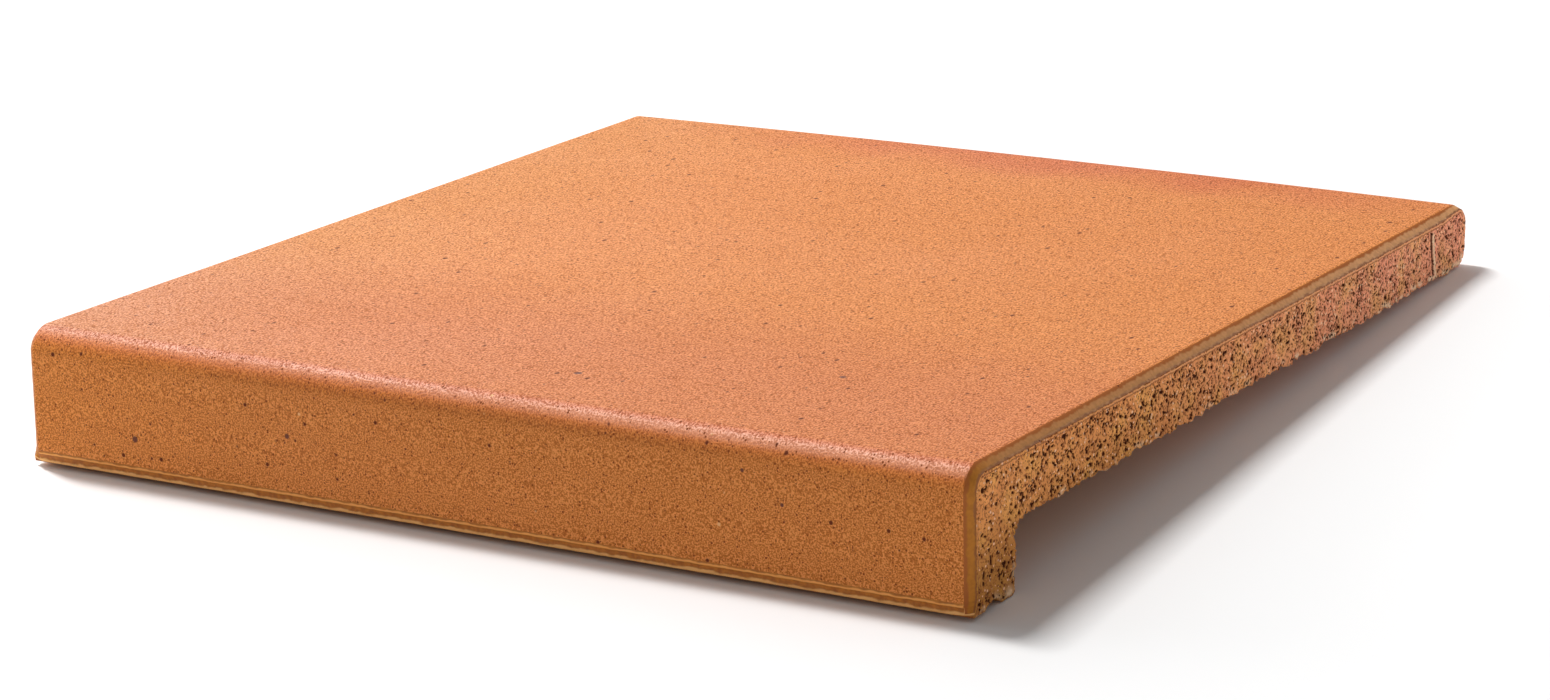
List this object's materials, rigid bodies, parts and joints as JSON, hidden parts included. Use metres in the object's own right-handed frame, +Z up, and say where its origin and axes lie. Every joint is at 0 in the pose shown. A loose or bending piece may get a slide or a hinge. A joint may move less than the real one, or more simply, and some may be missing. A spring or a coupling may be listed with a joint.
{
  "type": "window sill tile",
  "caption": "Fired clay window sill tile: a flat slab with a rounded front edge and a drip nose that hangs in front of the wall.",
  "frame": {"origin": "middle of the bottom of the tile's box, on the floor that it lies on", "axes": "+X along the width, +Y from the nose to the back edge, +Z up, with the tile tipped back on its nose and back edge"},
  "size_m": [0.3, 0.3238, 0.0399],
  "materials": {
    "fired_clay": "unglazed satin orange clay on the top and front, rough and porous on the cut ends and underneath"
  },
  "bodies": {
    "root": {"sill_tile": "fired_clay"}
  },
  "joints": []
}
